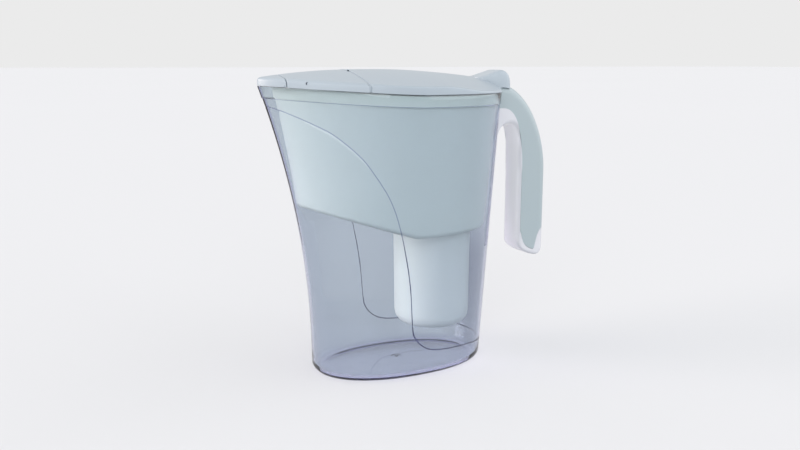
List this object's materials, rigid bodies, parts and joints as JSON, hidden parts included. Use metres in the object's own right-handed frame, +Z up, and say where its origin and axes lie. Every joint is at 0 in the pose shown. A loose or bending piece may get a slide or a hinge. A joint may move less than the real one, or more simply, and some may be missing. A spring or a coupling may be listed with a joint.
{
  "type": "water filter pitcher",
  "caption": "Oval water filter pitcher with a clear jug, lift-out reservoir and filter cartridge, domed flip lid with a spout flap, and an open-ended handle.",
  "frame": {"origin": "centre of the jug's flat base, on the surface it stands on", "axes": "+X towards the handle, -X towards the spout, +Y to the pitcher's right as seen from behind the handle, +Z up"},
  "size_m": [0.2736, 0.12, 0.2594],
  "materials": {
    "clear_plastic": "clear moulded plastic with a faint blue-violet tint",
    "handle_core": "matt moulded plastic",
    "handle_plastic": "satin",
    "grip_plastic": "soft satin",
    "hopper_plastic": "satin",
    "cup_plastic": "satin",
    "cartridge_white": "satin",
    "cartridge_blue": "satin",
    "seal_rubber": "matt",
    "screen_mesh": "fine woven",
    "resin_beads": "granular",
    "carbon_granules": "granular",
    "pin_steel": "plain",
    "pin_dark": "satin",
    "lid_plastic": "satin"
  },
  "bodies": {
    "jug": {"jug_shell": "clear_plastic", "handle_frame": "handle_core", "handle_cover": "handle_plastic", "handle_grip": "grip_plastic"},
    "reservoir": {"reservoir": "hopper_plastic", "filter_cup": "cup_plastic"},
    "cartridge": {"cartridge_shell": "cartridge_white", "cartridge_cap": "cartridge_blue", "cartridge_seal": "seal_rubber", "inlet_screen": "screen_mesh", "divider_screen": "screen_mesh", "outlet_screen": "screen_mesh", "resin_bed": "resin_beads", "carbon_bed": "carbon_granules"},
    "pull_ring": {"pull_ring": "cartridge_white"},
    "lid": {"lid_shell": "lid_plastic", "thumb_rest": "lid_plastic", "hinge_pin": "pin_steel"},
    "flip_lid": {"flip_lid": "lid_plastic", "flap_pin": "pin_dark"},
    "spout_flap": {"spout_flap": "lid_plastic"}
  },
  "joints": [
    {"name": "reservoir_lift", "type": "slide", "parent": "jug", "child": "reservoir", "axis": [0, 0, 1], "range_m": [0, 0.22]},
    {"name": "lid_lift", "type": "slide", "parent": "reservoir", "child": "lid", "axis": [0, 0, 1], "range_m": [0, 0.05]},
    {"name": "flip_lid_hinge", "type": "hinge", "parent": "lid", "child": "flip_lid", "pos_m": [-0.0475, 0, 0.25804], "axis": [0, 1, 0], "range_deg": [0, 90]},
    {"name": "spout_flap_hinge", "type": "hinge", "parent": "flip_lid", "child": "spout_flap", "pos_m": [-0.0915, 0, 0.24865], "axis": [0, 1, 0], "range_deg": [0, 10]},
    {"name": "cartridge_lift", "type": "slide", "parent": "reservoir", "child": "cartridge", "axis": [0, 0, 1], "range_m": [0, 0.09]},
    {"name": "pull_ring_hinge", "type": "hinge", "parent": "cartridge", "child": "pull_ring", "pos_m": [0.0355, 0, 0.1371], "axis": [0, 1, 0], "range_deg": [0, 90]}
  ]
}
